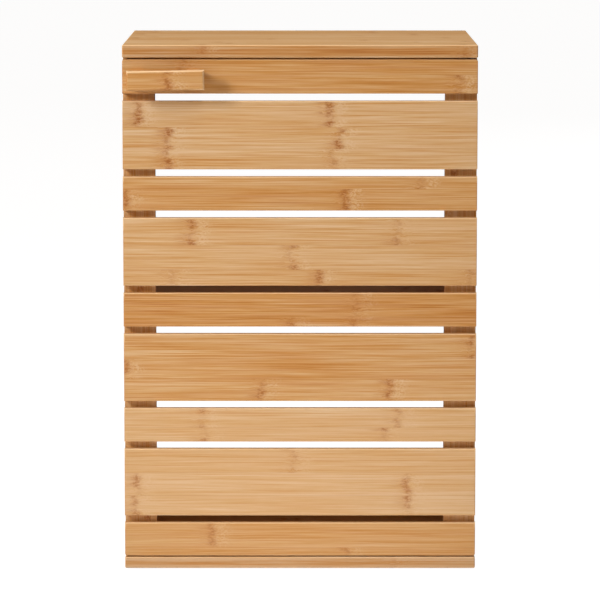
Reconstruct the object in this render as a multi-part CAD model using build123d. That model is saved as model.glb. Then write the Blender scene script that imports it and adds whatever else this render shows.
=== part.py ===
from build123d import *

import math
import os

# Bamboo cabinet with one slatted, pivot-hung door, a shelf and an open back.
#
# Millimetres. +X is to the right of someone facing the door, +Y runs from the door to the back, +Z is up.
# The origin is the centre of the bounding box at floor level, so z = 0 is under the foot pads.

# ---------------------------------------------------------------- driving dimensions
WIDTH = 400.0
BODY_DEPTH = 300.0
OVERALL_HEIGHT = 600.0
TOP_T = 14.5
BOTTOM_T = 13.0
PANEL_T = 12.0  # side panels, shelf and back rails
FOOT_H = 2.0
FOOT_R = 8.0
FOOT_INSET = 22.0

# door
DOOR_RECESS = 1.2  # the door's face stands this far behind the front edges of the two boards
DOOR_TOP_GAP = 1.8
DOOR_BOTTOM_GAP = 1.3
DOOR_BACK_GAP = 2.3
SLAT_T = 9.0
NARROW_SLAT = 38.5
WIDE_SLAT = 77.2
SLAT_COUNT = 9  # narrow and wide slats by turns, narrow at both ends
STILE_T = 12.0
STILE_W = 36.0
STILE_INSET = 0.3
SLAT_SCREW_FROM_EDGE = 12.0
DOOR_CORNER_R = 2.5
PIVOT_FROM_EDGE = 6.0
PIVOT_FROM_BACK = 8.0

# handle: a bar on two square posts, near the door's free top corner
HANDLE_LENGTH = 87.0
HANDLE_HEIGHT = 22.2
HANDLE_T = 10.0
HANDLE_STANDOFF = 14.0
HANDLE_X = -150.7
HANDLE_Z = 561.4
HANDLE_TILT = 0.9  # degrees, the right end stands higher
HANDLE_CHAMFER = 1.6
POST_FROM_END = 5.0
POST_W = 14.0
POST_H = 21.4

# shelf, rails and catch
SHELF_DEPTH = 256.0
SHELF_SIDE_GAP = 0.5
SHELF_FROM_BACK = 4.0
TOP_RAIL_H = 58.0
BOTTOM_RAIL_H = 50.0
WALL_HOLE_SPACING = 260.0
WALL_HOLE_R = 2.5
CATCH_Z = 498.3

# edges and fits
BOARD_EDGE_R = 1.5
SLAT_EDGE_R = 0.8
THIN_EDGE_R = 0.5
SMALL_EDGE_R = 0.8
FIT = 0.05  # radial clearance of dowels, pins and screws in their holes
SPARE = 0.5  # a blind hole is this much deeper than what goes in it
OVERRUN = 1.0  # a cutter reaches this far past the face it cuts through
DOWEL_CHAMFER_SHARE = 0.2

# ---------------------------------------------------------------- places worked out from them
HANDLE_PROUD = HANDLE_STANDOFF + HANDLE_T - DOOR_RECESS
FRONT = HANDLE_PROUD - (BODY_DEPTH + HANDLE_PROUD) / 2
BACK = FRONT + BODY_DEPTH
HALF_W = WIDTH / 2
INNER_HALF_W = HALF_W - PANEL_T
FLOOR_Z = FOOT_H + BOTTOM_T
CEILING_Z = OVERALL_HEIGHT - TOP_T

DOOR_FACE = FRONT + DOOR_RECESS
STILE_FACE = DOOR_FACE + SLAT_T
DOOR_REAR = STILE_FACE + STILE_T
SIDE_FRONT = DOOR_REAR + DOOR_BACK_GAP
DOOR_BOTTOM = FLOOR_Z + DOOR_BOTTOM_GAP
DOOR_TOP = CEILING_Z - DOOR_TOP_GAP
NARROW_COUNT = (SLAT_COUNT + 1) // 2
WIDE_COUNT = SLAT_COUNT // 2
SLAT_GAP = (DOOR_TOP - DOOR_BOTTOM - NARROW_COUNT * NARROW_SLAT - WIDE_COUNT * WIDE_SLAT) / (SLAT_COUNT - 1)
STILE_X = HALF_W - STILE_INSET - STILE_W / 2
SLAT_SCREW_X = HALF_W - STILE_INSET - SLAT_SCREW_FROM_EDGE
PIVOT_X = HALF_W - PIVOT_FROM_EDGE
PIVOT_Y = DOOR_REAR - PIVOT_FROM_BACK

SHELF_MID_Z = (DOOR_TOP + DOOR_BOTTOM) / 2
SHELF_UNDER_Z = SHELF_MID_Z - PANEL_T / 2
SIDE_MID_X = HALF_W - PANEL_T / 2
RAIL_MID_Y = BACK - PANEL_T / 2

SIDES = {"left": -1, "right": 1}
UP = (0, 0, 1)
DOWN = (0, 0, -1)
FORWARD = (0, -1, 0)
REARWARD = (0, 1, 0)

parts = {}


# ---------------------------------------------------------------- small makers
def block(x, y, z):
    """A box from three (low, high) pairs."""
    size = [high - low for low, high in (x, y, z)]
    centre = [(high + low) / 2 for low, high in (x, y, z)]
    return Pos(*centre) * Box(*size)


def eased(x, y, z, radius):
    """A board with all its edges rounded."""
    board = block(x, y, z)
    return fillet(board.edges(), radius)


def toward(point, direction):
    """A plane at a point, with its Z axis along direction."""
    return Plane(origin=point, z_dir=direction)


def rod(point, direction, radius, length):
    """A cylinder that starts at a point and runs along direction."""
    return toward(point, direction) * Pos(0, 0, length / 2) * Cylinder(radius, length)


def dowel(point, direction, radius, length):
    """A wooden dowel with chamfered ends, which starts at a point."""
    peg = rod(point, direction, radius, length)
    return chamfer(peg.edges().filter_by(GeomType.CIRCLE), radius * DOWEL_CHAMFER_SHARE)


def hole(point, direction, radius, depth):
    """A round cutter that enters at a point, and starts a little before it so that the mouth is clean."""
    start = Vector(*point) - Vector(*direction) * OVERRUN
    return rod(start, direction, radius, depth + OVERRUN)


def cross_recess(head_r):
    """The cutter for the cross in a screw's head, centred on z = 0. Its sizes are shares of the head's radius."""
    arm, width, depth = head_r * 1.1, head_r * 0.24, head_r * 0.7
    return Box(arm, width, depth) + Box(width, arm, depth)


def screw(point, direction, head_r, head_h, shank_r, length, countersunk=True):
    """A wood screw. The top of its head is at a point, and it runs along direction."""
    tip = min(SCREW_TIP, length / 4)
    outline = [
        (0, 0),
        (head_r, 0),
        (head_r if not countersunk else shank_r, head_h),
        (shank_r, head_h),
        (shank_r, length - tip),
        (SCREW_TIP_R, length),
        (0, length),
    ]
    points = [outline[0]] + [b for a, b in zip(outline, outline[1:]) if a != b]
    profile = make_face(Polyline(*points, close=True))
    solid = revolve(Plane.XZ * profile, Axis.Z)
    return toward(point, direction) * (solid - cross_recess(head_r))


def screw_hole(point, direction, head_r, head_h, shank_r, length):
    """The cutter for a countersunk screw, a little wider all round."""
    shank = hole(point, direction, shank_r + FIT, length + SPARE)
    mouth = toward(point, direction) * Pos(0, 0, head_h / 2) * Cone(head_r + FIT, shank_r + FIT, head_h)
    return shank + mouth


def group(solids):
    """Several separate solids in one node."""
    return Compound([solid for item in solids for solid in item.solids()])


# ---------------------------------------------------------------- where the fasteners stand
SCREW_TIP = 3.0
SCREW_TIP_R = 0.3
SLAT_SCREW = {"head_r": 3.2, "head_h": 2.0, "shank_r": 1.5, "length": 18.0}
BOTTOM_SCREW = {"head_r": 4.0, "head_h": 2.6, "shank_r": 2.0, "length": 38.0}
CATCH_SCREW = {"head_r": 2.6, "head_h": 1.6, "shank_r": 1.3, "length": 11.0, "countersunk": False}
STRIKE_SCREW = {"head_r": 2.2, "head_h": 0.9, "shank_r": 1.2, "length": 10.0}
HANDLE_SCREW = {"head_r": 4.0, "head_h": 2.4, "shank_r": 1.8, "countersunk": False}
HANDLE_SCREW_BITE = 7.0
HANDLE_SCREW_SINK = 2.6  # the counterbore that takes the left screw's head in the stile's back
HANDLE_SCREW_ROOM = 0.4  # round that head
WALL_COUNTERSINK = 2.4

DOWEL_R = 3.0
TOP_DOWEL_LENGTH = 28.0
TOP_DOWEL_IN_BOARD = 9.0
RAIL_DOWEL_LENGTH = 24.0
RAIL_DOWEL_IN_PANEL = 8.0
CAM_R = 6.0
CAM_T = 9.0
CAM_DROP = 20.0  # from the top edge of a side panel to a cam's centre
CAM_HOLE_R = 3.5
CAM_HOLLOW_R = 3.3
CAM_BOLT_IN_BOARD = 9.0
CAM_BOLT_NECK_R = 1.7
CAM_BOLT_HEAD_R = 2.8
CAM_BOLT_HEAD_L = 3.4
CAM_BOLT_ROOM = 4.0  # below a cam's centre, for the bolt's head
PIN_R = 2.5
PIN_LENGTH = 16.0
PIN_IN_PANEL = 8.0
PIN_STEP = 32.0
PIN_ROWS = (-1, 0, 1)

SIDE_DEPTH = BACK - SIDE_FRONT
CAM_YS = [SIDE_FRONT + SIDE_DEPTH * share for share in (0.14, 0.86)]
TOP_DOWEL_YS = [SIDE_FRONT + SIDE_DEPTH * share for share in (0.30, 0.70)]
BOTTOM_SCREW_YS = [SIDE_FRONT + SIDE_DEPTH * share for share in (0.12, 0.50, 0.88)]
PIN_YS = [SIDE_FRONT + 40.0, BACK - 40.0]

# rail name: its (bottom, top)
RAILS = {
    "top_back_rail": (CEILING_Z - TOP_RAIL_H, CEILING_Z),
    "bottom_back_rail": (FLOOR_Z, FLOOR_Z + BOTTOM_RAIL_H),
}


def rail_dowel_heights(bottom, top):
    return [bottom + (top - bottom) * share for share in (0.27, 0.73)]


RAIL_DOWEL_ZS = [z for span in RAILS.values() for z in rail_dowel_heights(*span)]
POST_REACH = HANDLE_LENGTH / 2 - POST_FROM_END - POST_W / 2
POST_SLOPE = math.tan(math.radians(HANDLE_TILT))
# (x, z) of each handle post, left then right
POST_PLACES = [(HANDLE_X + shift, HANDLE_Z + shift * POST_SLOPE) for shift in (-POST_REACH, POST_REACH)]

PIN_DIAMETER = 4.0
PIVOT_IN_STILE = 14.0
PIVOT_IN_BUSH = 8.0
BUSH_R = 3.5
BUSH_DEPTH = 9.0
BUSH_FLANGE_R = 4.8
BUSH_FLANGE_T = 0.8
BUSH_CLEARANCE = 0.06
PIN_CHAMFER = 0.4


# ---------------------------------------------------------------- carcass
def make_boards():
    """The top and bottom boards, with the holes of what is fastened to them."""
    top = eased((-HALF_W, HALF_W), (FRONT, BACK), (CEILING_Z, OVERALL_HEIGHT), BOARD_EDGE_R)
    bottom = eased((-HALF_W, HALF_W), (FRONT, BACK), (FOOT_H, FLOOR_Z), BOARD_EDGE_R)
    for side in SIDES.values():
        x = side * SIDE_MID_X
        for y in TOP_DOWEL_YS:
            top -= hole((x, y, CEILING_Z), UP, DOWEL_R + FIT, TOP_DOWEL_IN_BOARD + SPARE)
        for y in CAM_YS:
            top -= hole((x, y, CEILING_Z), UP, PIN_R + FIT, CAM_BOLT_IN_BOARD + SPARE)
        for y in BOTTOM_SCREW_YS:
            bottom -= screw_hole((x, y, FOOT_H), UP, **BOTTOM_SCREW)
    top -= hole((PIVOT_X, PIVOT_Y, CEILING_Z), UP, BUSH_R, BUSH_DEPTH)
    bottom -= hole((PIVOT_X, PIVOT_Y, FLOOR_Z), DOWN, BUSH_R, BUSH_DEPTH)
    parts["top_board"] = top
    parts["bottom_board"] = bottom


def make_side_panel(name, side):
    outer, inner = side * HALF_W, side * INNER_HALF_W
    x_mid = side * SIDE_MID_X
    panel = eased(sorted((outer, inner)), (SIDE_FRONT, BACK), (FLOOR_Z, CEILING_Z), THIN_EDGE_R)
    for y in TOP_DOWEL_YS:
        panel -= hole((x_mid, y, CEILING_Z), DOWN, DOWEL_R + FIT, TOP_DOWEL_LENGTH - TOP_DOWEL_IN_BOARD + SPARE)
    for y in CAM_YS:
        panel -= hole((x_mid, y, CEILING_Z), DOWN, CAM_HOLE_R, CAM_DROP + CAM_BOLT_ROOM)
        panel -= hole((inner, y, CEILING_Z - CAM_DROP), (side, 0, 0), CAM_R + FIT, CAM_T + FIT)
    for y in BOTTOM_SCREW_YS:
        screw_in_panel = BOTTOM_SCREW["length"] - BOTTOM_T
        panel -= hole((x_mid, y, FLOOR_Z), UP, BOTTOM_SCREW["shank_r"] + FIT, screw_in_panel + SPARE)
    for z in RAIL_DOWEL_ZS:
        panel -= hole((inner, RAIL_MID_Y, z), (side, 0, 0), DOWEL_R + FIT, RAIL_DOWEL_IN_PANEL + SPARE)
    for y in PIN_YS:
        for row in PIN_ROWS:
            z = SHELF_UNDER_Z - PIN_R + row * PIN_STEP
            panel -= hole((inner, y, z), (side, 0, 0), PIN_R + FIT, PIN_IN_PANEL + SPARE)
    if side < 0:
        depth = CATCH_SCREW["length"] - CATCH_SCREW["head_h"] - CATCH_EAR_T + SPARE
        for z in catch_screw_heights():
            panel -= hole((inner, catch_y(), z), (side, 0, 0), CATCH_SCREW["shank_r"] + FIT, depth)
    parts[name] = panel


def make_shelf():
    half = INNER_HALF_W - SHELF_SIDE_GAP
    rear = BACK - PANEL_T - SHELF_FROM_BACK
    z_span = (SHELF_UNDER_Z, SHELF_UNDER_Z + PANEL_T)
    parts["shelf"] = eased((-half, half), (rear - SHELF_DEPTH, rear), z_span, BOARD_EDGE_R)


def make_back_rails():
    """Two rails tie the side panels together at the back. The top one takes two wall screws."""
    for name, (bottom, top) in RAILS.items():
        span = (-INNER_HALF_W, INNER_HALF_W)
        rail = eased(span, (BACK - PANEL_T, BACK), (bottom, top), THIN_EDGE_R)
        for z in rail_dowel_heights(bottom, top):
            for side in SIDES.values():
                start = (side * INNER_HALF_W, RAIL_MID_Y, z)
                depth = RAIL_DOWEL_LENGTH - RAIL_DOWEL_IN_PANEL + SPARE
                rail -= hole(start, (-side, 0, 0), DOWEL_R + FIT, depth)
        if name == "top_back_rail":
            for x in (-WALL_HOLE_SPACING / 2, WALL_HOLE_SPACING / 2):
                front = (x, BACK - PANEL_T, (bottom + top) / 2)
                rail -= hole(front, REARWARD, WALL_HOLE_R, PANEL_T + OVERRUN)
                mouth = Cone(WALL_HOLE_R + WALL_COUNTERSINK, WALL_HOLE_R, WALL_COUNTERSINK)
                rail -= toward(front, REARWARD) * Pos(0, 0, WALL_COUNTERSINK / 2) * mouth
        parts[name] = rail


def make_carcass_fasteners():
    dowels, cams, bolts, screws, pins = [], [], [], [], []
    for side in SIDES.values():
        x = side * SIDE_MID_X
        inner = side * INNER_HALF_W
        for y in TOP_DOWEL_YS:
            dowels.append(dowel((x, y, CEILING_Z + TOP_DOWEL_IN_BOARD), DOWN, DOWEL_R, TOP_DOWEL_LENGTH))
        for y in CAM_YS:
            cams.append(cam_disc((inner, y, CEILING_Z - CAM_DROP), side))
            bolts.append(cam_bolt((x, y, CEILING_Z)))
        for y in BOTTOM_SCREW_YS:
            screws.append(screw((x, y, FOOT_H), UP, **BOTTOM_SCREW))
        for y in PIN_YS:
            start = (inner + side * PIN_IN_PANEL, y, SHELF_UNDER_Z - PIN_R)
            pins.append(dowel(start, (-side, 0, 0), PIN_R, PIN_LENGTH))
    rail_dowels = []
    for z in RAIL_DOWEL_ZS:
        for side in SIDES.values():
            start = (side * (INNER_HALF_W + RAIL_DOWEL_IN_PANEL), RAIL_MID_Y, z)
            rail_dowels.append(dowel(start, (-side, 0, 0), DOWEL_R, RAIL_DOWEL_LENGTH))
    parts["top_dowels"] = group(dowels)
    parts["rail_dowels"] = group(rail_dowels)
    parts["cam_discs"] = group(cams)
    parts["cam_bolts"] = group(bolts)
    parts["bottom_screws"] = group(screws)
    parts["shelf_pins"] = group(pins)


def cam_disc(face, side):
    """A cam in a side panel's inner face: a disc with a cross for the driver and a hollow for the bolt."""
    disc = rod(face, (side, 0, 0), CAM_R, CAM_T)
    mouth = (side * SIDE_MID_X, face[1], face[2])
    disc -= rod(mouth, UP, CAM_HOLLOW_R, CAM_R + OVERRUN)
    disc -= toward(mouth, UP) * Sphere(CAM_HOLLOW_R)
    disc -= toward(face, (side, 0, 0)) * cross_recess(CAM_R * 0.8)
    return disc


def cam_bolt(foot):
    """The bolt in the top board whose head the cam pulls down."""
    x, y, z = foot
    thread = rod((x, y, z), UP, PIN_R, CAM_BOLT_IN_BOARD)
    neck = rod((x, y, z), DOWN, CAM_BOLT_NECK_R, CAM_DROP)
    head = rod((x, y, z - CAM_DROP + CAM_BOLT_HEAD_L / 2), DOWN, CAM_BOLT_HEAD_R, CAM_BOLT_HEAD_L)
    return thread + neck + head


def make_feet():
    for end, x_side in SIDES.items():
        for place, y in (("front", FRONT + FOOT_INSET), ("rear", BACK - FOOT_INSET)):
            pad = rod((x_side * (HALF_W - FOOT_INSET), y, 0), UP, FOOT_R, FOOT_H)
            pad = fillet(pad.edges().filter_by(GeomType.CIRCLE).sort_by(Axis.Z)[0], THIN_EDGE_R)
            parts[f"foot_pad_{place}_{end}"] = pad


# ---------------------------------------------------------------- door
def slat_spans():
    """The (bottom, top) of each slat, from the top one down."""
    top = DOOR_TOP
    for index in range(SLAT_COUNT):
        height = WIDE_SLAT if index % 2 else NARROW_SLAT
        yield top - height, top
        top -= height + SLAT_GAP


def slat_screw_heights(bottom, top):
    """Two screws through each stile into a wide slat and one into a narrow one, high up if the handle is there."""
    if top - bottom > NARROW_SLAT + 1:
        shares = (0.25, 0.75)
    else:
        shares = (0.75,) if bottom < HANDLE_Z < top else (0.5,)
    return [bottom + (top - bottom) * share for share in shares]


def make_slats():
    for number, (bottom, top) in enumerate(slat_spans(), start=1):
        slat = block((-HALF_W, HALF_W), (DOOR_FACE, STILE_FACE), (bottom, top))
        corners = slat.edges().filter_by(Axis.Y).sort_by(Axis.Z)
        if number == 1:
            slat = fillet(corners[2:], DOOR_CORNER_R)
        if number == SLAT_COUNT:
            slat = fillet(corners[:2], DOOR_CORNER_R)
        slat = fillet(slat.faces().sort_by(Axis.Y)[0].edges(), SLAT_EDGE_R)
        slat = fillet(slat.faces().sort_by(Axis.Y)[-1].edges(), THIN_EDGE_R)
        bore, pilot = SLAT_SCREW["shank_r"] + FIT, SLAT_SCREW["length"] - STILE_T
        for z in slat_screw_heights(bottom, top):
            for side in SIDES.values():
                slat -= hole((side * SLAT_SCREW_X, STILE_FACE, z), FORWARD, bore, pilot + SPARE)
        if number == 1:
            for x, z in POST_PLACES:
                slat -= hole((x, STILE_FACE, z), FORWARD, HANDLE_SCREW["shank_r"] + FIT, SLAT_T + OVERRUN)
        parts[f"slat_{number}"] = slat


def make_stiles():
    for name, side in (("latch_stile", -1), ("hinge_stile", 1)):
        x_span = (side * STILE_X - STILE_W / 2, side * STILE_X + STILE_W / 2)
        stile = eased(x_span, (STILE_FACE, DOOR_REAR), (DOOR_BOTTOM, DOOR_TOP), THIN_EDGE_R)
        for bottom, top in slat_spans():
            for z in slat_screw_heights(bottom, top):
                stile -= screw_hole((side * SLAT_SCREW_X, DOOR_REAR, z), FORWARD, **SLAT_SCREW)
        if side > 0:
            pin_r = PIN_DIAMETER / 2 + FIT
            stile -= hole((PIVOT_X, PIVOT_Y, DOOR_TOP), DOWN, pin_r, PIVOT_IN_STILE)
            stile -= hole((PIVOT_X, PIVOT_Y, DOOR_BOTTOM), UP, pin_r, PIVOT_IN_STILE)
        else:
            head = (POST_PLACES[0][0], DOOR_REAR, POST_PLACES[0][1])
            stile -= hole(head, FORWARD, HANDLE_SCREW["head_r"] + HANDLE_SCREW_ROOM, HANDLE_SCREW_SINK)
            stile -= hole(head, FORWARD, HANDLE_SCREW["shank_r"] + FIT, STILE_T + OVERRUN)
            depth = STRIKE_SCREW["length"] - STRIKE_T + SPARE
            stile -= hole((catch_x(), DOOR_REAR, CATCH_Z), FORWARD, STRIKE_SCREW["shank_r"] + FIT, depth)
        parts[name] = stile
    screws = [
        screw((side * SLAT_SCREW_X, DOOR_REAR, z), FORWARD, **SLAT_SCREW)
        for side in SIDES.values()
        for span in slat_spans()
        for z in slat_screw_heights(*span)
    ]
    parts["slat_screws"] = group(screws)


def make_handle():
    bar_back = DOOR_FACE - HANDLE_STANDOFF
    half = HANDLE_LENGTH / 2
    turn = Rot(0, -HANDLE_TILT, 0)
    bar = block((-half, half), (-HANDLE_T, 0), (-HANDLE_HEIGHT / 2, HANDLE_HEIGHT / 2))
    bar = chamfer(bar.faces().sort_by(Axis.Y)[0].edges(), HANDLE_CHAMFER)
    bar = fillet(bar.faces().sort_by(Axis.Y)[-1].edges(), THIN_EDGE_R)
    bar = Pos(HANDLE_X, bar_back, HANDLE_Z) * turn * bar
    screws = []
    heads = (DOOR_REAR - HANDLE_SCREW_SINK + HANDLE_SCREW["head_h"], STILE_FACE + HANDLE_SCREW["head_h"])
    for name, (x, z), head_y in zip(("handle_left_post", "handle_right_post"), POST_PLACES, heads):
        length = head_y - bar_back + HANDLE_SCREW_BITE
        bar -= hole((x, bar_back, z), FORWARD, HANDLE_SCREW["shank_r"] + FIT, HANDLE_SCREW_BITE + SPARE)
        post = block((-POST_W / 2, POST_W / 2), (-HANDLE_STANDOFF, 0), (-POST_H / 2, POST_H / 2))
        post = fillet(post.edges().filter_by(Axis.Y), THIN_EDGE_R)
        post = Pos(x, DOOR_FACE, z) * turn * post
        post -= hole((x, DOOR_FACE, z), FORWARD, HANDLE_SCREW["shank_r"] + FIT, HANDLE_STANDOFF + OVERRUN)
        parts[name] = post
        screws.append(screw((x, head_y, z), FORWARD, length=length, **HANDLE_SCREW))
    parts["handle_bar"] = bar
    parts["handle_screws"] = group(screws)


def make_pivots():
    """A steel pin in each end of the hinge stile turns in a flanged bush in the board beyond it."""
    pin_r = PIN_DIAMETER / 2
    for name, edge, board, out in (
        ("upper", DOOR_TOP, CEILING_Z, 1),
        ("lower", DOOR_BOTTOM, FLOOR_Z, -1),
    ):
        length = PIVOT_IN_STILE + abs(board - edge) + PIVOT_IN_BUSH
        start = (PIVOT_X, PIVOT_Y, edge - out * PIVOT_IN_STILE)
        pin = rod(start, (0, 0, out), pin_r, length)
        parts[f"{name}_pivot_pin"] = chamfer(pin.edges().filter_by(GeomType.CIRCLE), PIN_CHAMFER)
        mouth = (PIVOT_X, PIVOT_Y, board)
        bush = rod(mouth, (0, 0, out), BUSH_R, BUSH_DEPTH)
        bush += rod(mouth, (0, 0, -out), BUSH_FLANGE_R, BUSH_FLANGE_T)
        below = (PIVOT_X, PIVOT_Y, board - out * BUSH_FLANGE_T)
        bush -= hole(below, (0, 0, out), pin_r + BUSH_CLEARANCE, BUSH_DEPTH + BUSH_FLANGE_T + OVERRUN)
        parts[f"{name}_pivot_bush"] = bush


# ---------------------------------------------------------------- magnetic catch and bumpers
CATCH_W = 12.0  # across, out from the side panel
CATCH_BODY_L = 30.0
CATCH_EAR_L = 10.0
CATCH_EAR_T = 3.0
CATCH_D = 20.0
CATCH_FRONT = SIDE_FRONT - 0.5
POLE_PROUD = 0.5
POLE_T = 1.0
MAGNET_T = 5.0
MAGNET_L = 24.0
MAGNET_D = 12.0
MAGNET_RECESS = 1.0
STRIKE_T = 1.0
STRIKE_W = 12.0
STRIKE_L = 30.0
STRIKE_CORNER_R = 2.0
BUMPER_R = 4.0
BUMPER_T = 2.2
BUMPER_ZS = {"lower": 70.0, "upper": 530.0}


def catch_x():
    return -INNER_HALF_W + CATCH_W / 2


def catch_y():
    return CATCH_FRONT + CATCH_D / 2


def catch_screw_heights():
    offset = (CATCH_BODY_L + CATCH_EAR_L) / 2
    return [CATCH_Z - offset, CATCH_Z + offset]


def make_catch():
    wall = -INNER_HALF_W
    depth = (CATCH_FRONT, CATCH_FRONT + CATCH_D)
    body_z = (CATCH_Z - CATCH_BODY_L / 2, CATCH_Z + CATCH_BODY_L / 2)
    ear_z = (body_z[0] - CATCH_EAR_L, body_z[1] + CATCH_EAR_L)
    housing = eased((wall, wall + CATCH_W), depth, body_z, SMALL_EDGE_R)
    housing += block((wall, wall + CATCH_EAR_T), depth, ear_z)
    stack = MAGNET_T / 2 + POLE_T + FIT
    magnet_z = (CATCH_Z - MAGNET_L / 2, CATCH_Z + MAGNET_L / 2)
    pocket_y = (CATCH_FRONT - OVERRUN, CATCH_FRONT + MAGNET_D + SPARE)
    pocket_z = (magnet_z[0] - FIT, magnet_z[1] + FIT)
    housing -= block((catch_x() - stack, catch_x() + stack), pocket_y, pocket_z)
    screws = []
    bore = CATCH_SCREW["shank_r"] + FIT
    for z in catch_screw_heights():
        head = (wall + CATCH_EAR_T + CATCH_SCREW["head_h"], catch_y(), z)
        housing -= hole((wall + CATCH_EAR_T, catch_y(), z), (-1, 0, 0), bore, CATCH_EAR_T + OVERRUN)
        screws.append(screw(head, (-1, 0, 0), **CATCH_SCREW))
    parts["catch_housing"] = housing
    parts["catch_screws"] = group(screws)
    magnet_x = (catch_x() - MAGNET_T / 2, catch_x() + MAGNET_T / 2)
    parts["catch_magnet"] = block(magnet_x, (CATCH_FRONT + MAGNET_RECESS, CATCH_FRONT + MAGNET_D), magnet_z)
    plates = []
    for x in (magnet_x[0] - POLE_T, magnet_x[1]):
        plates.append(block((x, x + POLE_T), (CATCH_FRONT - POLE_PROUD, CATCH_FRONT + MAGNET_D), magnet_z))
    parts["catch_pole_plates"] = group(plates)

    plate_x = (catch_x() - STRIKE_W / 2, catch_x() + STRIKE_W / 2)
    plate = block(plate_x, (DOOR_REAR, DOOR_REAR + STRIKE_T), (CATCH_Z - STRIKE_L / 2, CATCH_Z + STRIKE_L / 2))
    plate = fillet(plate.edges().filter_by(Axis.Y), STRIKE_CORNER_R)
    head = (catch_x(), DOOR_REAR + STRIKE_T, CATCH_Z)
    plate -= screw_hole(head, FORWARD, **STRIKE_SCREW)
    parts["strike_plate"] = plate
    parts["strike_screw"] = screw(head, FORWARD, **STRIKE_SCREW)


def make_bumpers():
    for name, z in BUMPER_ZS.items():
        pad = rod((-SIDE_MID_X, SIDE_FRONT, z), FORWARD, BUMPER_R, BUMPER_T)
        pad = fillet(pad.edges().filter_by(GeomType.CIRCLE).sort_by(Axis.Y)[0], SMALL_EDGE_R)
        parts[f"{name}_door_bumper"] = pad


# ---------------------------------------------------------------- build and write
make_boards()
for side_name, side_sign in SIDES.items():
    make_side_panel(f"{side_name}_side_panel", side_sign)
make_shelf()
make_back_rails()
make_carcass_fasteners()
make_feet()
make_slats()
make_stiles()
make_handle()
make_pivots()
make_catch()
make_bumpers()

os.makedirs("parts", exist_ok=True)
for node, shape in parts.items():
    export_step(shape, f"parts/{node}.step")
print(f"{len(parts)} nodes; slat gap {SLAT_GAP:.2f} mm; front {FRONT:.2f}, back {BACK:.2f}")
print(f"pivot at {PIVOT_X:.2f}, {PIVOT_Y:.2f}; door from {DOOR_BOTTOM:.2f} to {DOOR_TOP:.2f}")
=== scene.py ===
"""A bamboo cabinet with a slatted door, in plain studio light.

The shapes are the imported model's own. This script gives each of them its material, and adds
the floor, the lights and the camera. Metres, +X right, +Y to the back, +Z up; the shaders
work in millimetres.
"""

import math

import bpy
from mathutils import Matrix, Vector


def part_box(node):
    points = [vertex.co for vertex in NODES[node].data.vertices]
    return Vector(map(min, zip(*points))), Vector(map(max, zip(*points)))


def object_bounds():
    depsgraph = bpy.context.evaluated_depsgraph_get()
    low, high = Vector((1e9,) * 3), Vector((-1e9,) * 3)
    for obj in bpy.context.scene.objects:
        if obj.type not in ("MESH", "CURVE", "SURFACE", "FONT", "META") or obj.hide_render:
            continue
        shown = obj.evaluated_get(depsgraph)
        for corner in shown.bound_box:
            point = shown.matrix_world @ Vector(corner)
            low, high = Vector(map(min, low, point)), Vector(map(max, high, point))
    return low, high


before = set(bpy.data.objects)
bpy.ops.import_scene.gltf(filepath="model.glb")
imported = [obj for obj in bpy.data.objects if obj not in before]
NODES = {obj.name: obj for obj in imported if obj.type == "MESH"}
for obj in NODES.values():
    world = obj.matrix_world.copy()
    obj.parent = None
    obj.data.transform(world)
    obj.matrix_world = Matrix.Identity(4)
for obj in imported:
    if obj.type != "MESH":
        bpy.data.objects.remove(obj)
CAD_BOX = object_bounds()
MM = 0.001

# ---------------------------------------------------------------- colours, linear RGB
WHITE = (1.0, 1.0, 1.0)
PALE = (0.72, 0.505, 0.300)
STRAW = (0.63, 0.365, 0.150)
HONEY = (0.56, 0.260, 0.068)
AMBER = (0.45, 0.160, 0.028)
BLUSH = (0.68, 0.425, 0.240)
# pale worn wood, also the colour of the painted highlights on edges
WEAR_AND_HIGHLIGHT = (0.85, 0.60, 0.34)
KNOT_BROWN = (0.35, 0.112, 0.022)
GLUE_BROWN = (0.40, 0.160, 0.045)


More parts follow.
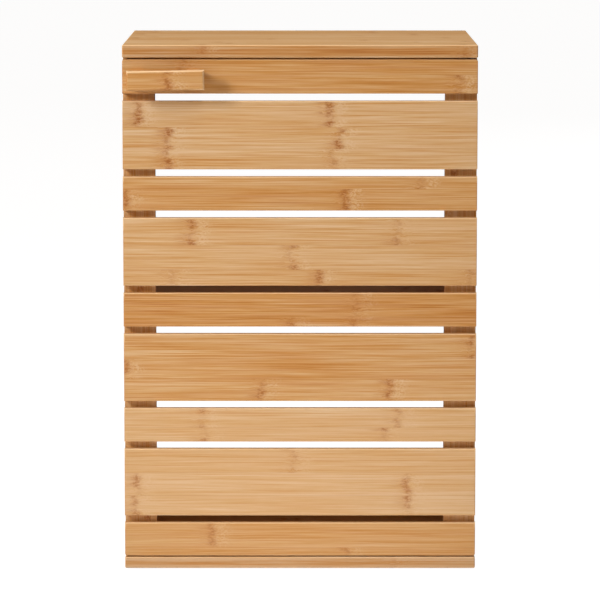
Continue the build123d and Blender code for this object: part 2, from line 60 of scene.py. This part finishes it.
# ---------------------------------------------------------------- building node trees
class Tree:
    """Short names for building a node tree: most methods add a node and return its output."""

    def __init__(self, tree):
        self.tree = tree

    def node(self, kind, inputs=(), **settings):
        made = self.tree.nodes.new("ShaderNode" + kind)
        for key, value in settings.items():
            setattr(made, key, value)
        for key, value in dict(inputs).items():
            self.put(value, made.inputs[key])
        return made

    def put(self, value, socket):
        """Links an output to this socket, or sets its value; a colour may be RGB alone."""
        if isinstance(value, bpy.types.NodeSocket):
            self.tree.links.new(value, socket)
        elif socket.type == "RGBA" and len(value) == 3:
            socket.default_value = (*value, 1.0)
        else:
            socket.default_value = value

    def math(self, operation, a, b=0.0, c=0.0):
        return self.node("Math", {0: a, 1: b, 2: c}, operation=operation).outputs[0]

    def add(self, *values):
        total = values[0]
        for value in values[1:]:
            total = self.math("ADD", total, value)
        return total

    def times(self, a, b):
        return self.math("MULTIPLY", a, b)

    def scaled(self, value, factor, offset=0.0):
        return self.math("MULTIPLY_ADD", value, factor, offset)

    def bell(self, distance, width):
        """1 at distance 0, and falling to nothing beyond about twice the width."""
        share = self.math("DIVIDE", distance, width)
        return self.math("EXPONENT", self.scaled(self.times(share, share), -1.0))

    def span(self, value, low, high, to_low=0.0, to_high=1.0, kind="SMOOTHSTEP"):
        inputs = {0: value, 1: low, 2: high, 3: to_low, 4: to_high}
        return self.node("MapRange", inputs, interpolation_type=kind).outputs[0]

    def vector(self, x, y, z):
        return self.node("CombineXYZ", {0: x, 1: y, 2: z}).outputs[0]

    def noise(self, vector, detail=2.0, roughness=0.5):
        inputs = {"Vector": vector, "Scale": 1.0, "Detail": detail, "Roughness": roughness}
        return self.node("TexNoise", inputs).outputs[0]

    def ramp(self, value, stops, interpolation="LINEAR"):
        """stops are (position, colour), and a colour is RGB, RGBA or one number."""
        made = self.node("ValToRGB", {"Fac": value})
        made.color_ramp.interpolation = interpolation
        elements = made.color_ramp.elements
        while len(elements) < len(stops):
            elements.new(1.0)
        for element, (position, colour) in zip(elements, stops):
            element.position = position
            if isinstance(colour, (int, float)):
                colour = (colour, colour, colour)
            element.color = (*colour, 1.0) if len(colour) == 3 else colour
        return made

    def mix(self, factor, a, b):
        return self.node("Mix", {0: factor, 6: a, 7: b}, data_type="RGBA").outputs[2]


class Graph(Tree):
    """The node tree of a new material with one Principled shader."""

    def __init__(self, name):
        self.material = bpy.data.materials.new(name)
        self.material.use_nodes = True
        super().__init__(self.material.node_tree)
        self.tree.nodes.clear()
        self.shader = self.node("BsdfPrincipled")
        self.node("OutputMaterial", {"Surface": self.shader.outputs[0]})

    def place(self):
        """The point's X, Y and Z in the row frame, in millimetres."""
        split = self.node("SeparateXYZ", {0: self.node("TexCoord").outputs["Object"]})
        return [self.scaled(value, 1 / MM) for value in split.outputs]

    def cells(self, x, y, z, detail):
        """Noise with this many cells to a millimetre along each axis."""
        stretched = [self.scaled(value, tight) for value, tight in zip(self.place(), (x, y, z))]
        return self.noise(self.vector(*stretched), detail)

    def bump(self, height, distance_mm, strength=1.0):
        inputs = {"Height": height, "Distance": distance_mm * MM, "Strength": strength}
        return self.node("Bump", inputs).outputs[0]

    def finish(self, **inputs):
        for key, value in inputs.items():
            self.put(value, self.shader.inputs[key.replace("_", " ")])
        return self.material


def give(material, *names):
    """Puts a material in every slot of these CAD nodes."""
    for name in names:
        for slot in NODES[name].material_slots:
            slot.material = material


# ---------------------------------------------------------------- bamboo
AXES = "xyz"
GLUE_LINE = 0.9  # mm, the width of the darkened line between two strips
STRIP_JUMP = 739.0  # how far apart in the noise a dark strip and a pale one are
SEED_JUMP = 61.7  # how far apart in the noise two pieces are

# A knot's place is stored in a colour, as a share of this length that is counted from half
# of it below zero.
KNOT_SPAN = 1000.0
NO_KNOT = -900.0
KNOTS_STORED = 3

# Sizes round a knot, in mm: the half widths of its brown line, of what it darkens or bleaches
# on either side and of the curl in the fibres, how far off the two sides are, and how far the
# line wanders.
KNOT_CORE = 4.6
KNOT_FLANK = 9.0
KNOT_CURL = 12.0
WARM_SIDE = 8.0
PALE_SIDE = 12.0
KNOT_WANDER = 22.0

# The levels of a noise between which it turns from nothing to full: in patches and in specks.
PATCHY = (0.40, 0.58)
SPECKLED = (0.40, 0.62)

# From dark to pale, where the grain's colours lie.
GRAIN_COLOURS = [(0.0, AMBER), (0.33, HONEY), (0.62, STRAW), (1.0, PALE)]
GRAIN_MIDDLE = 0.27

# The layers of the grain: a fibre's length and thickness in mm, the detail and the roughness
# of its noise, and how strongly it shows.
GRAIN = {
    "broad": (300.0, 13.0, 1.0, 0.5, 0.40),
    "bands": (190.0, 4.0, 1.0, 0.5, 0.48),
    "lines": (130.0, 1.5, 1.0, 0.5, 0.78),
    "fine": (60.0, 0.85, 2.0, 0.6, 0.80),
    "pores": (9.0, 0.28, 1.0, 0.5, 0.18),
}


def stored(position):
    return (position + KNOT_SPAN / 2) / KNOT_SPAN if position > NO_KNOT else 0.0


class Bamboo:
    """Laminated bamboo for one piece.

    along is the axis of its fibres and across that of its row of strips. strips, from the high
    end of the across axis to the low one, are (width share, tone, knots). tone runs from -1
    dark to 1 pale, and knots are up to three places along the fibres, in millimetres from the
    middle. A piece with a tilt gives its own size, because its box is larger.
    """

    def __init__(self, node, along, across, strips, seed, tilt=0.0, size=None):
        self.g = Graph(node + "_bamboo")
        self.along, self.across = AXES.index(along), AXES.index(across)
        self.deep = sum(range(len(AXES))) - self.along - self.across
        self.strips, self.seed, self.tilt = strips, seed, tilt
        low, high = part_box(node)
        self.middle = (low + high) / 2 / MM
        self.half = Vector(size) / 2 if size else (high - low) / 2 / MM

    def find_place(self):
        """The place along, across and deep, from the piece's middle."""
        g = self.g
        local = [g.math("SUBTRACT", p, centre) for p, centre in zip(g.place(), self.middle)]
        if self.tilt:
            cos, sin = math.cos(self.tilt), math.sin(self.tilt)
            x, y, z = local
            level_x = g.add(g.scaled(x, cos), g.scaled(z, sin))
            local = [level_x, y, g.scaled(z, cos, g.scaled(x, -sin))]
        self.local = local
        self.u, self.v, self.w = (local[axis] for axis in (self.along, self.across, self.deep))

    def read_strips(self):
        """Which strip of cane a point is in: its tone, its knots, and how near the glue is."""
        g, strips = self.g, self.strips
        reach = self.half[self.across]
        share = g.span(self.v, reach, -reach, kind="LINEAR")
        total = sum(width for width, _, _ in strips)
        half_line = GLUE_LINE / 2 / (2 * reach)
        stops, lines, start = [], [(0.0, 0.0)], 0.0
        even = len({width for width, _, _ in strips}) == 1
        for width, tone, knots in strips:
            places = (*knots, *[NO_KNOT] * KNOTS_STORED)[:KNOTS_STORED]
            stops.append((start, (tone / 2 + 0.5, *map(stored, places))))
            if start > 0 and not even:
                lines += [(start - half_line, 0.0), (start, 1.0), (start + half_line, 0.0)]
            start += width / total
        table = g.ramp(share, stops, "CONSTANT")
        split = g.node("SeparateColor", {0: table.outputs["Color"]})
        self.tone = split.outputs[0]
        self.knots = [split.outputs[1], split.outputs[2], table.outputs["Alpha"]]
        if even:
            from_line = g.math("PINGPONG", g.scaled(share, len(strips)), 0.5)
            self.glue = g.span(from_line, 0.0, half_line * len(strips), 1.0, 0.0, "LINEAR")
        else:
            self.glue = g.ramp(share, lines + [(1.0, 0.0)]).outputs["Color"]
        # every strip is cut from its own cane, so it has its own part of the noise
        self.cane = g.scaled(self.tone, STRIP_JUMP, self.seed * SEED_JUMP)

    def spot(self, along, across, offset=0.0):
        """A place in the noise, which has so many cells to a millimetre along and across."""
        g = self.g
        u = g.add(g.scaled(self.u, along), self.cane)
        return g.vector(u, g.scaled(self.v, across), g.scaled(self.w, across, offset))

    def find_knot(self):
        """The signed distance to the nearest knot, whose line is ragged."""
        g = self.g
        nearest = None
        for knot in self.knots:
            place = g.scaled(knot, KNOT_SPAN, -KNOT_SPAN / 2)
            distance = g.math("SUBTRACT", self.u, place)
            if nearest is None:
                nearest = distance
                continue
            nearer = g.math("LESS_THAN", g.math("ABSOLUTE", distance), g.math("ABSOLUTE", nearest))
            inputs = {0: nearer, 2: nearest, 3: distance}
            nearest = g.node("Mix", inputs, data_type="FLOAT").outputs[0]
        wander = g.noise(self.spot(0.0, 0.11, 5.0), detail=3.0, roughness=0.65)
        self.gap = g.add(nearest, g.scaled(wander, KNOT_WANDER, -KNOT_WANDER / 2))

    def grow_fibres(self, knotty):
        """The layers of the grain. Fibres drift a little, and curl round a knot."""
        g = self.g
        drift = g.noise(self.spot(0.006, 0.02), detail=1.0)
        curl = g.noise(self.spot(0.12, 0.2, 9.0), detail=2.0)
        curl = g.times(g.scaled(curl, 10.0 * knotty, -5.0 * knotty), g.bell(self.gap, KNOT_CURL))
        v = g.add(self.v, g.scaled(drift, 2.0), curl)
        self.grain = {}
        for name, (length, thickness, detail, roughness, _) in GRAIN.items():
            along = g.add(g.scaled(self.u, 1 / length), self.cane)
            place = g.vector(along, g.scaled(v, 1 / thickness), g.scaled(self.w, 1 / thickness))
            self.grain[name] = g.noise(place, detail, roughness)

    def cane_colour(self, shade, streak, plies, blush):
        """Dark or pale by the strip's tone, its grain and its layer; pink in places."""
        g = self.g
        level = g.scaled(self.tone, 0.5, GRAIN_MIDDLE + shade)
        for name, (*_, strength) in GRAIN.items():
            if name != "pores":
                strength *= streak
            level = g.add(level, g.scaled(self.grain[name], strength, -strength / 2))
        if plies:
            reach = self.half[self.deep]
            layer = g.ramp(g.span(self.w, reach, -reach, kind="LINEAR"), plies).outputs["Color"]
            level = g.add(level, g.scaled(layer, 1.0, -0.5))
        colour = g.ramp(level, GRAIN_COLOURS).outputs["Color"]
        pink = g.span(g.noise(self.spot(0.008, 0.25, 31.0)), 0.45, 0.62)
        colour = g.mix(g.scaled(pink, blush), colour, BLUSH)
        return g.mix(g.scaled(self.glue, 0.30), colour, GLUE_BROWN)

    def draw_knots(self, colour, knotty):
        """Brown flecks on a knot's line, warm streaks before it, a pale stippled zone beyond."""
        g, gap = self.g, self.gap
        flecks = g.noise(self.spot(0.24, 0.46, 17.0), detail=3.0, roughness=0.65)
        flecks = g.span(flecks, *PATCHY)
        patch = g.span(g.noise(self.spot(0.02, 0.09, 23.0), detail=1.0), *PATCHY, 0.25, 1.15)
        stipple = g.span(g.noise(self.spot(0.42, 0.6, 41.0)), *SPECKLED)
        streaks = g.span(self.grain["lines"], *SPECKLED)
        self.core = g.times(g.bell(gap, KNOT_CORE), g.scaled(patch, knotty))
        before = g.times(g.bell(g.add(gap, WARM_SIDE), KNOT_FLANK), streaks)
        beyond = g.bell(g.add(gap, -PALE_SIDE), KNOT_FLANK)
        beyond = g.times(beyond, g.scaled(patch, knotty))
        colour = g.mix(g.times(beyond, g.scaled(stipple, 0.55)), colour, PALE)
        colour = g.mix(g.times(before, g.scaled(patch, 0.42 * knotty)), colour, AMBER)
        colour = g.mix(g.scaled(self.core, 0.32), colour, AMBER)
        return g.mix(g.times(self.core, g.scaled(flecks, 0.72)), colour, KNOT_BROWN)

    def edge_distance(self):
        """From the nearest edge: the middle one of the distances to the three pairs of faces."""
        g = self.g
        inward = [g.math("ABSOLUTE", p) for p in self.local]
        a, b, c = (g.math("SUBTRACT", reach, p) for reach, p in zip(self.half, inward))
        lower = g.math("MINIMUM", g.math("MAXIMUM", a, b), c)
        return g.math("MAXIMUM", g.math("MINIMUM", a, b), lower)

    def highlight_side(self):
        """1 at the piece's top, -1 at its underside; a tilted piece's free end is a top too. Edges
        low on this scale get less painted highlight, as painted shade.
        """
        g = self.g
        x, _, z = (g.math("DIVIDE", p, reach) for p, reach in zip(self.local, self.half))
        return g.math("MAXIMUM", x, z) if self.tilt else z

    def mark_wear_and_highlight(self, wear_and_highlight_reach, lower_edge_lit):
        """How pale a point is at an edge, partly from wear and partly as a painted highlight: 1 at
        an edge, and less at an edge that doesn't look up, as painted shade.
        """
        g = self.g
        ragged = g.scaled(self.grain["fine"], 1.0, -0.5)
        more_ragged = g.scaled(self.grain["bands"], 0.8, -0.4)
        reached = g.add(self.edge_distance(), ragged, more_ragged)
        worn_and_lit = g.span(reached, wear_and_highlight_reach - 1.2, wear_and_highlight_reach, 1.0, 0.0)
        # painted shade: edges that don't look up keep less of the pale edge
        if lower_edge_lit < 1:
            worn_and_lit = g.times(worn_and_lit, g.span(self.highlight_side(), 0.5, 0.95, lower_edge_lit, 1.0))
        return worn_and_lit

    def material(
        self,
        shade=0.0,
        streak=1.0,
        plies=None,
        knotty=1.0,
        blush=0.2,
        end_dark=0.45,
        edge_wear_and_highlight=0.55,
        wear_and_highlight_reach=1.6,
        lower_edge_lit=1.0,
        dull=0.0,
    ):
        g = self.g
        self.find_place()
        self.read_strips()
        self.find_knot()
        self.grow_fibres(knotty)
        colour = self.cane_colour(shade, streak, plies, blush)
        colour = self.draw_knots(colour, knotty)

        # ends are darker; edges are pale, partly from wear and partly as a painted highlight
        from_end = g.math("SUBTRACT", self.half[self.along], g.math("ABSOLUTE", self.u))
        colour = g.mix(g.span(from_end, 0.2, 1.6, end_dark, 0.0), colour, AMBER)
        worn_and_lit = self.mark_wear_and_highlight(wear_and_highlight_reach, lower_edge_lit)
        colour = g.mix(g.scaled(worn_and_lit, edge_wear_and_highlight), colour, WEAR_AND_HIGHLIGHT)

        relief = g.add(
            g.scaled(self.grain["lines"], 0.25),
            g.scaled(self.grain["fine"], 0.5),
            g.scaled(self.grain["pores"], 0.35),
            g.scaled(self.core, -0.3),
        )
        rough = g.add(
            g.scaled(self.grain["bands"], 0.16, 0.40 + dull),
            g.scaled(self.core, 0.12),
            g.scaled(worn_and_lit, 0.06),
        )
        return g.finish(
            Base_Color=colour,
            Roughness=rough,
            Specular_IOR_Level=0.3,
            Normal=g.bump(relief, 0.05, 0.5),
        )


# Each slat's shade, the strength of its streaks and of its knots, and its strips from the top
# down: (width share, tone, knots in mm from the middle).
SLATS = {
    "slat_1": (0.00, 1.00, 0.9, [(0.45, -0.35, (-132,)), (0.55, -0.25, (180,))]),
    "slat_2": (
        0.12,
        1.20,
        1.1,
        [(0.38, 0.25, (-183, 33)), (0.32, 0.30, (-150, 43)), (0.30, 0.15, (-150, 36))],
    ),
    "slat_3": (-0.02, 1.05, 1.0, [(0.36, -0.20, (137,)), (0.64, -0.30, (52, -196))]),
    "slat_4": (
        0.08,
        1.15,
        1.0,
        [(0.40, 0.20, (-122, 111)), (0.36, 0.25, (-9,)), (0.24, 0.05, (-147, 20, 191))],
    ),
    "slat_5": (-0.12, 1.25, 0.9, [(0.70, -0.30, (63,)), (0.30, -0.40, (-10, 60))]),
    "slat_6": (
        0.00,
        1.20,
        0.9,
        [(0.37, -0.10, (194,)), (0.30, -0.25, (-199,)), (0.33, 0.20, (-43, 102))],
    ),
    "slat_7": (0.14, 0.80, 0.7, [(0.58, 0.40, (-113, 110)), (0.42, 0.25, (-108, 97))]),
    "slat_8": (
        0.16,
        0.85,
        0.75,
        [(0.36, 0.05, (-8,)), (0.34, 0.35, (-184, 123)), (0.30, 0.45, (-188, 124))],
    ),
    "slat_9": (0.02, 0.75, 0.6, [(0.75, -0.05, (-100,)), (0.25, -0.15, (52,))]),
}

# The boards' seeds, the knots of the strip at their front edge, and the three layers that each
# is pressed from, from the top face down: (share of the thickness, paleness). The bottom
# board's front edge is paler than its faces: painted light, for the floor's bounce on it.
BOARDS = {
    "top_board": (
        21,
        (-108, 185),
        [(0.0, 0.50), (0.30, 0.42), (0.36, 0.15), (0.70, 0.15), (0.76, 0.56), (1.0, 0.62)],
    ),
    "bottom_board": (
        22,
        (107,),
        [
            (0.0, 0.50),
            (0.03, 0.50),
            (0.09, 0.98),
            (0.30, 0.92),
            (0.36, 0.60),
            (0.70, 0.60),
            (0.76, 1.0),
            (0.95, 1.0),
            (1.0, 0.50),
        ],
    ),
}

# The pieces whose strips are all scattered: the axes along and across, how many strips there
# are and how far from the middle their knots reach in mm, their mean tone and how much it
# varies, the piece's seed, and how its material differs.
PANEL_LOOK = {"shade": 0.04, "streak": 0.8}
STILE_LOOK = {"shade": 0.14, "blush": 0.3, "edge_wear_and_highlight": 0.1}
SCATTERED = {
    "shelf": ("x", "y", 12, 180.0, 0.0, 0.35, 31, {"streak": 0.8}),
    "top_back_rail": ("x", "z", 2, 180.0, 0.0, 0.35, 33, {}),
    "bottom_back_rail": ("x", "z", 2, 180.0, 0.0, 0.35, 34, {}),
    "left_side_panel": ("z", "y", 13, 280.0, 0.1, 0.3, 36, PANEL_LOOK),
    "right_side_panel": ("z", "y", 13, 280.0, 0.1, 0.3, 37, PANEL_LOOK),
    "latch_stile": ("z", "x", 5, 280.0, -0.4, 0.3, 41, STILE_LOOK),
    "hinge_stile": ("z", "x", 5, 280.0, -0.4, 0.3, 42, STILE_LOOK),
}

# The handle bar leans, so its own size in mm is given.
HANDLE_TILT = math.radians(0.9)
HANDLE_SIZE = (87.0, 10.0, 22.2)
HANDLE_SEED = 51
POST_SEEDS = {"handle_left_post": 53, "handle_right_post": 54}
STRIP_TURN = 2.399963  # the golden angle, which scatters the strips evenly


def spread_strips(count, reach, tone, variety, seed):
    """Strips of even width whose tones and knots are scattered, but the same on each run."""
    made = []
    for index in range(count):
        turn = seed + index * STRIP_TURN
        knots = [reach * math.sin(turn * 1.7 + 0.6)]
        if index % 2:
            knots.append(reach * math.sin(turn * 0.9 + 2.1))
        made.append((1.0, tone + variety * math.sin(turn * 3.1), knots))
    return made


def dress_bamboo():
    for seed, (name, (shade, streak, knotty, strips)) in enumerate(SLATS.items(), start=1):
        # painted shade: the first slat's edges get little pale edge, for the shadow of the top
        # board above it
        edge_wear_and_highlight = 0.2 if name == "slat_1" else 0.8  # the top board shelters the first slat
        slat = Bamboo(name, "x", "z", strips, seed)
        give(slat.material(shade, streak, knotty=knotty, edge_wear_and_highlight=edge_wear_and_highlight, lower_edge_lit=0.15), name)
    for name, (seed, front_knots, plies) in BOARDS.items():
        strips = spread_strips(13, 190.0, 0.1, 0.35, seed) + [(1.0, 0.1, front_knots)]
        board = Bamboo(name, "x", "y", strips, seed)
        look = board.material(0.08, 1.25, plies, knotty=0.6, blush=0.05, lower_edge_lit=0.3, dull=0.15)
        give(look, name)
    for name, (along, across, count, reach, tone, variety, seed, look) in SCATTERED.items():
        strips = spread_strips(count, reach, tone, variety, seed)
        give(Bamboo(name, along, across, strips, seed).material(**look), name)
    bar_strips = [(1.0, -0.4, (3.7,))]
    bar = Bamboo("handle_bar", "x", "z", bar_strips, HANDLE_SEED, HANDLE_TILT, HANDLE_SIZE)
    # painted shade and highlight: the bar's edges that face down or left get no pale edge, so its
    # darkened left end stays dark, and its top and right bevels are painted pale
    give(bar.material(end_dark=0.5, edge_wear_and_highlight=0.95, wear_and_highlight_reach=2.1, lower_edge_lit=0.0), "handle_bar")
    for name, seed in POST_SEEDS.items():
        post = Bamboo(name, "y", "z", [(1.0, -0.1, ())], seed)
        give(post.material(end_dark=0.0, edge_wear_and_highlight=0.0), name)


# ---------------------------------------------------------------- the small materials
def turned_wood():
    """Raw beech dowels: short pale flecks."""
    g = Graph("raw_beech")
    grain = g.cells(0.3, 1.6, 0.9, detail=3.0)
    colour = g.ramp(grain, [(0.3, (0.50, 0.34, 0.20)), (0.7, (0.70, 0.53, 0.35))])
    return g.finish(
        Base_Color=colour.outputs["Color"],
        Roughness=0.7,
        Normal=g.bump(grain, 0.05),
    )


def zinc_steel():
    """Zinc-plated steel: fine scratches, and a faint warm cast here and there."""
    g = Graph("zinc_plated_steel")
    cloud = g.cells(0.3, 0.3, 0.3, detail=3.0)
    scratch = g.cells(1.1, 1.1, 9.0, detail=2.0)
    colour = g.ramp(cloud, [(0.35, (0.56, 0.57, 0.59)), (0.65, (0.70, 0.68, 0.62))])
    return g.finish(
        Base_Color=colour.outputs["Color"],
        Metallic=1.0,
        Roughness=g.add(g.scaled(cloud, 0.15, 0.18), g.scaled(scratch, 0.12)),
        Normal=g.bump(scratch, 0.02),
    )


def cast_zinc():
    """Die-cast zinc: grainy and dull."""
    g = Graph("die_cast_zinc")
    grain = g.cells(1.4, 1.4, 1.4, detail=4.0)
    colour = g.ramp(grain, [(0.3, (0.38, 0.39, 0.41)), (0.7, (0.55, 0.56, 0.58))])
    return g.finish(
        Base_Color=colour.outputs["Color"],
        Metallic=1.0,
        Roughness=g.scaled(grain, 0.2, 0.35),
        Normal=g.bump(grain, 0.04),
    )


def moulded(name, dark, light, rough, grain_mm, depth_mm):
    """Moulded plastic or rubber with a fine surface grain."""
    g = Graph(name)
    tight = 1 / grain_mm
    grain = g.cells(tight, tight, tight, detail=3.0)
    cloud = g.cells(0.12, 0.12, 0.12, detail=2.0)
    mixed = g.add(g.scaled(grain, 0.4), g.scaled(cloud, 0.6))
    return g.finish(
        Base_Color=g.ramp(mixed, [(0.35, dark), (0.65, light)]).outputs["Color"],
        Roughness=g.scaled(cloud, 0.16, rough - 0.08),
        Normal=g.bump(grain, depth_mm),
    )


STEEL_NODES = (
    "cam_bolts",
    "bottom_screws",
    "shelf_pins",
    "catch_screws",
    "slat_screws",
    "handle_screws",
    "upper_pivot_pin",
    "lower_pivot_pin",
    "strike_plate",
    "strike_screw",
    "catch_pole_plates",
)

# Each moulded material's dark and light colour, its roughness, the size and the depth of its
# grain in mm, and the nodes that have it.
MOULDED = {
    "nylon": (
        (0.66, 0.65, 0.60),
        (0.76, 0.75, 0.71),
        0.42,
        0.8,
        0.01,
        ("upper_pivot_bush", "lower_pivot_bush"),
    ),
    "brown_plastic": (
        (0.13, 0.062, 0.030),
        (0.17, 0.085, 0.042),
        0.48,
        0.5,
        0.02,
        ("catch_housing",),
    ),
    "ferrite": (
        (0.030, 0.030, 0.033),
        (0.055, 0.055, 0.060),
        0.55,
        0.25,
        0.02,
        ("catch_magnet",),
    ),
    "clear_rubber": (
        (0.50, 0.49, 0.46),
        (0.60, 0.59, 0.56),
        0.38,
        1.2,
        0.01,
        ("upper_door_bumper", "lower_door_bumper"),
    ),
    "felt": (
        (0.085, 0.060, 0.042),
        (0.16, 0.12, 0.085),
        0.95,
        0.22,
        0.15,
        tuple(name for name in NODES if name.startswith("foot_pad")),
    ),
}


def dress_fittings():
    give(turned_wood(), "top_dowels", "rail_dowels")
    give(cast_zinc(), "cam_discs")
    give(zinc_steel(), *STEEL_NODES)
    for name, (dark, light, rough, grain_mm, depth_mm, nodes) in MOULDED.items():
        give(moulded(name, dark, light, rough, grain_mm, depth_mm), *nodes)


# ---------------------------------------------------------------- the floor
FLOOR_RADIUS = 40.0
FLOOR_SIDES = 96
FLOOR_GLOW = 0.945  # what the camera sees is this much light of the floor's own,
FLOOR_SEEN = (0.23, 0.23, 0.23)  # and this much of what falls on it
FLOOR_BOUNCE = (0.84, 0.82, 0.80)
POOL_CENTRE = (0.0, 0.55, 0.0)  # and another as far in front
POOL_RADIUS = 0.6
POOL_STRENGTH = 0.98
POOL_COLOUR = (1.0, 0.93, 0.86)


def floor_paper():
    """The camera sees a lit paper sweep, almost without a shadow.

    The object gets the bounce of pale paper, and the light of two soft pools on it.
    """
    material = bpy.data.materials.new("floor_paper")
    material.use_nodes = True
    g = Tree(material.node_tree)
    g.tree.nodes.clear()
    glow = g.node("Emission", {"Color": WHITE, "Strength": FLOOR_GLOW}).outputs[0]
    paper = g.node("BsdfDiffuse", {"Color": FLOOR_SEEN}).outputs[0]
    seen = g.node("AddShader", {0: glow, 1: paper}).outputs[0]

    place = g.node("TexCoord").outputs["Object"]
    mirrored = g.node("VectorMath", {0: place}, operation="ABSOLUTE").outputs[0]
    from_pool = g.node("VectorMath", {0: mirrored, 1: POOL_CENTRE}, operation="SUBTRACT")
    distance = g.node("VectorMath", {0: from_pool.outputs[0]}, operation="LENGTH")
    strength = g.span(distance.outputs["Value"], 0.0, POOL_RADIUS, POOL_STRENGTH, 0.0)
    pool = g.node("Emission", {"Color": POOL_COLOUR, "Strength": strength}).outputs[0]
    bounce = g.node("BsdfDiffuse", {"Color": FLOOR_BOUNCE}).outputs[0]
    lit = g.node("AddShader", {0: bounce, 1: pool}).outputs[0]

    by_camera = g.node("LightPath").outputs["Is Camera Ray"]
    chosen = g.node("MixShader", {0: by_camera, 1: lit, 2: seen}).outputs[0]
    g.node("OutputMaterial", {"Surface": chosen})
    return material


def make_floor():
    turns = [math.tau * index / FLOOR_SIDES for index in range(FLOOR_SIDES)]
    ring = [(FLOOR_RADIUS * math.cos(a), FLOOR_RADIUS * math.sin(a), 0.0) for a in turns]
    mesh = bpy.data.meshes.new("floor")
    mesh.from_pydata(ring, [], [tuple(range(FLOOR_SIDES))])
    mesh.materials.append(floor_paper())
    floor = bpy.data.objects.new("floor", mesh)
    bpy.context.scene.collection.objects.link(floor)


# ---------------------------------------------------------------- world, lights and camera
WORLD_FRONT = (0.20, 0.157, 0.119)
WORLD_BACK = (0.06, 0.05, 0.042)
WORLD_TURN = (-0.3, 0.5)  # where, by the direction's Y, the front ends and the back begins

# Square softboxes that face the object's middle: the direction they stand in, their distance
# and their side in metres, and their power in watts.
LAMPS = {
    "key_left": ((-1.37, -1.0, 0.95), 3.0, 0.75, 60.5),
    "overhead": ((0.1, -0.25, 1.0), 2.0, 1.4, 20.0),
    "behind_right": ((0.5, 1.0, 0.25), 6.0, 1.5, 26.0),
}

SENSOR_MM = 36.0
LENS_MM = 213.7
CAMERA_DISTANCE = 4.0  # from the front of the top board
CAMERA_HEIGHT = 0.835
AIM_HEIGHT = 0.3114


def make_world():
    """Seen as white. It lights the object warmly from the front, and less from behind."""
    world = bpy.data.worlds.new("studio")
    bpy.context.scene.world = world
    world.use_nodes = True
    g = Tree(world.node_tree)
    direction = g.node("TexCoord").outputs["Generated"]
    rearward = g.node("SeparateXYZ", {0: direction}).outputs["Y"]
    light = g.mix(g.span(rearward, *WORLD_TURN, kind="LINEAR"), WORLD_FRONT, WORLD_BACK)
    colour = g.mix(g.node("LightPath").outputs["Is Camera Ray"], light, WHITE)
    g.put(colour, g.tree.nodes["Background"].inputs["Color"])


def aim(made, target):
    made.rotation_mode = "QUATERNION"
    made.rotation_quaternion = (Vector(target) - made.location).to_track_quat("-Z", "Y")
    bpy.context.scene.collection.objects.link(made)


def make_lights():
    low, high = CAD_BOX
    middle = (low + high) / 2
    for name, (direction, distance, side, watts) in LAMPS.items():
        data = bpy.data.lights.new(name, "AREA")
        data.shape = "SQUARE"
        data.size = side
        data.energy = watts
        lamp = bpy.data.objects.new(name, data)
        lamp.location = middle + Vector(direction).normalized() * distance
        aim(lamp, middle)


def make_camera():
    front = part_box("top_board")[0].y
    data = bpy.data.cameras.new("camera")
    data.sensor_width = SENSOR_MM
    data.lens = LENS_MM
    data.clip_start, data.clip_end = 0.1, 200.0
    camera = bpy.data.objects.new("camera", data)
    camera.location = (0.0, front - CAMERA_DISTANCE, CAMERA_HEIGHT)
    aim(camera, (0.0, front, AIM_HEIGHT))
    bpy.context.scene.camera = camera


dress_bamboo()
dress_fittings()
make_floor()
make_world()
make_lights()
make_camera()
bpy.context.scene.view_settings.view_transform = "Standard"
